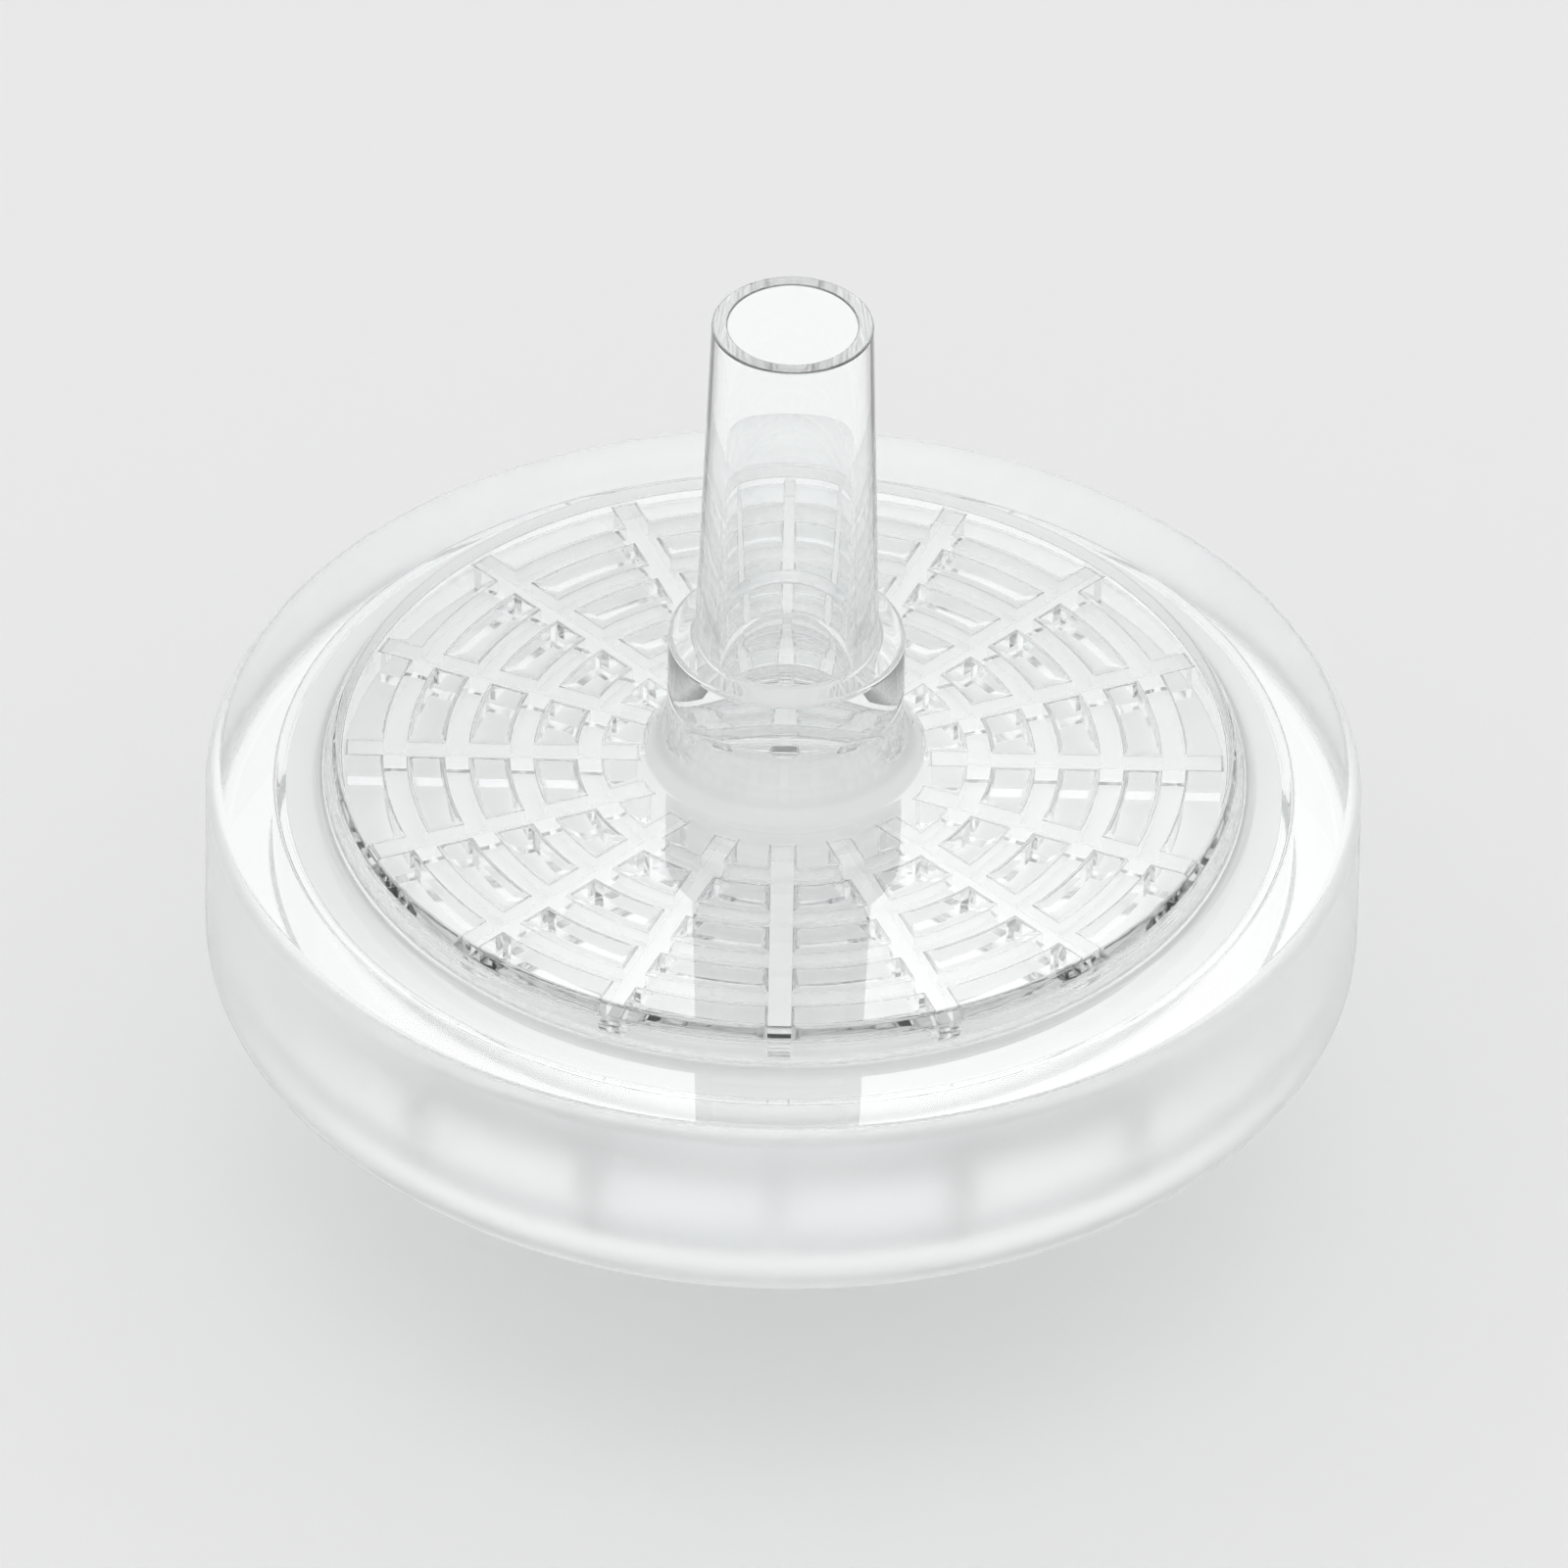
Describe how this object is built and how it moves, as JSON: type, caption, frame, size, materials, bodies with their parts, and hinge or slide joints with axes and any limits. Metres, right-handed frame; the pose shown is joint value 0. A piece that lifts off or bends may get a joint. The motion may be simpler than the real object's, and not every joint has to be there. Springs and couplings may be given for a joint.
{
  "type": "syringe filter",
  "caption": "Clear disc filter for a syringe: slip outlet tube on a round top with a web of ribs, white membrane, thick rim and a locking inlet socket below.",
  "frame": {"origin": "centre of the inlet hub's end face, on which the filter stands", "axes": "+Z along the flow axis, from the inlet hub up to the outlet tube's tip; one straight rib of the web points along -Y, and the two lugs lie along X"},
  "size_m": [0.0284, 0.0284, 0.0254],
  "materials": {
    "clear_housing": "clear moulded acrylic, polished",
    "membrane": "white porous nylon, matt"
  },
  "bodies": {
    "root": {"outlet_housing": "clear_housing", "membrane": "membrane", "inlet_housing": "clear_housing"}
  },
  "joints": []
}
